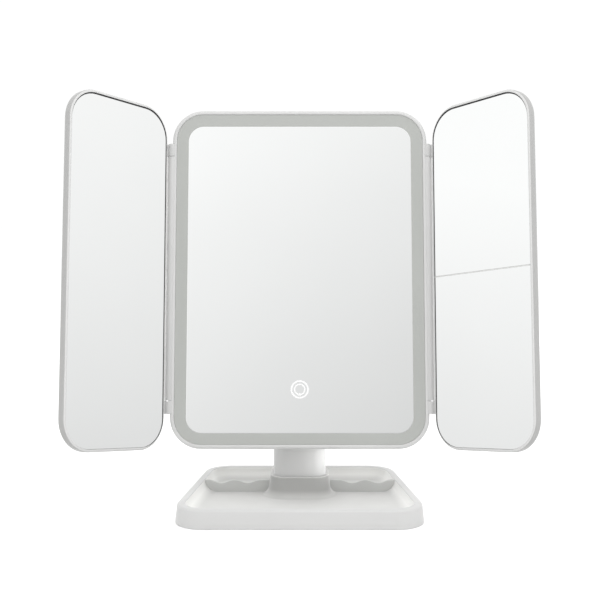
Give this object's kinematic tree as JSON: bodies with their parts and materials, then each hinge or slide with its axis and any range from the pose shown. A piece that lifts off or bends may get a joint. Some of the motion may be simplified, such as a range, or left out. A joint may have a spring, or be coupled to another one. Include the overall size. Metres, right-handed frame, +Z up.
{
  "type": "lighted vanity mirror",
  "caption": "Free-standing trifold makeup mirror with a frosted light band, folding side mirrors, a tilting head and a tray base.",
  "frame": {"origin": "centre of the base underside, on the table", "axes": "+X to the right across the wings, -Y to the front, +Z up"},
  "size_m": [0.31, 0.1455, 0.2915],
  "materials": {
    "white_plastic": "satin white moulded plastic",
    "tray_plastic": "satin off-white moulded plastic",
    "frosted_band": "frosted light grey, unlit",
    "mirror_glass": "silvered glass",
    "grey_rubber": "matte",
    "black_gasket": "black edge seal",
    "friction_rubber": "matte",
    "foam_tape": "matte foam",
    "battery_wrap": "plain printed sleeve without text",
    "circuit_board": "solder mask",
    "weight_steel": "zinc plated",
    "shaft_steel": "turned",
    "screw_steel": "zinc plated",
    "contact_steel": "nickel plated"
  },
  "bodies": {
    "base": {"anti_slip_pad": "grey_rubber", "base_screw_front_left": "screw_steel", "base_screw_front_right": "screw_steel", "base_screw_rear_left": "screw_steel", "base_screw_rear_right": "screw_steel", "base_shell": "white_plastic", "base_weight_plate": "weight_steel", "pedestal_collar": "tray_plastic", "post": "white_plastic", "post_screw_left": "screw_steel", "post_screw_right": "screw_steel", "tray_divider_left": "tray_plastic", "tray_divider_right": "tray_plastic"},
    "head": {"battery_cell_1": "battery_wrap", "battery_cell_2": "battery_wrap", "battery_cell_3": "battery_wrap", "battery_cell_4": "battery_wrap", "battery_contact_left": "contact_steel", "battery_contact_right": "contact_steel", "bracket_screw_bottom_left": "screw_steel", "bracket_screw_bottom_right": "screw_steel", "bracket_screw_top_left": "screw_steel", "bracket_screw_top_right": "screw_steel", "control_board": "circuit_board", "friction_washer_left": "friction_rubber", "friction_washer_right": "friction_rubber", "led_strip": "circuit_board", "light_diffuser": "frosted_band", "light_tray": "white_plastic", "main_frame": "white_plastic", "main_mirror": "mirror_glass", "pivot_cap_left": "white_plastic", "pivot_cap_right": "white_plastic", "rear_cover": "white_plastic", "rear_cover_screw_bottom_left": "screw_steel", "rear_cover_screw_bottom_right": "screw_steel", "rear_cover_screw_top_left": "screw_steel", "rear_cover_screw_top_right": "screw_steel", "tilt_bracket": "white_plastic", "tilt_shaft": "shaft_steel", "touch_sensor_pad": "circuit_board", "usb_socket": "contact_steel"},
    "battery_door": {"battery_door": "white_plastic"},
    "left_wing": {"left_hinge_pin_lower": "shaft_steel", "left_hinge_pin_upper": "shaft_steel", "left_mirror": "mirror_glass", "left_mirror_gasket": "black_gasket", "left_mirror_tape": "foam_tape", "left_wing_frame": "white_plastic"},
    "right_wing": {"right_hinge_pin_lower": "shaft_steel", "right_hinge_pin_upper": "shaft_steel", "right_lower_mirror": "mirror_glass", "right_lower_mirror_tape": "foam_tape", "right_mirror_gasket": "black_gasket", "right_upper_mirror": "mirror_glass", "right_upper_mirror_tape": "foam_tape", "right_wing_frame": "white_plastic"}
  },
  "joints": [
    {"name": "panel_tilt", "type": "hinge", "parent": "base", "child": "head", "pos_m": [0, 0.0186, 0.066], "axis": [1, 0, 0], "range_deg": [-79.3, 10.68]},
    {"name": "left_wing_fold", "type": "hinge", "parent": "head", "child": "left_wing", "pos_m": [-0.0913, 0.00377, 0.16283], "axis": [0, 0.1853, 0.9827], "range_deg": [-51, 129]},
    {"name": "right_wing_fold", "type": "hinge", "parent": "head", "child": "right_wing", "pos_m": [0.0913, 0.00377, 0.16283], "axis": [0, -0.1853, -0.9827], "range_deg": [-51, 129]},
    {"name": "battery_door_release", "type": "slide", "parent": "head", "child": "battery_door", "axis": [0, 0.9827, -0.1853], "range_m": [0, 0.025]}
  ]
}
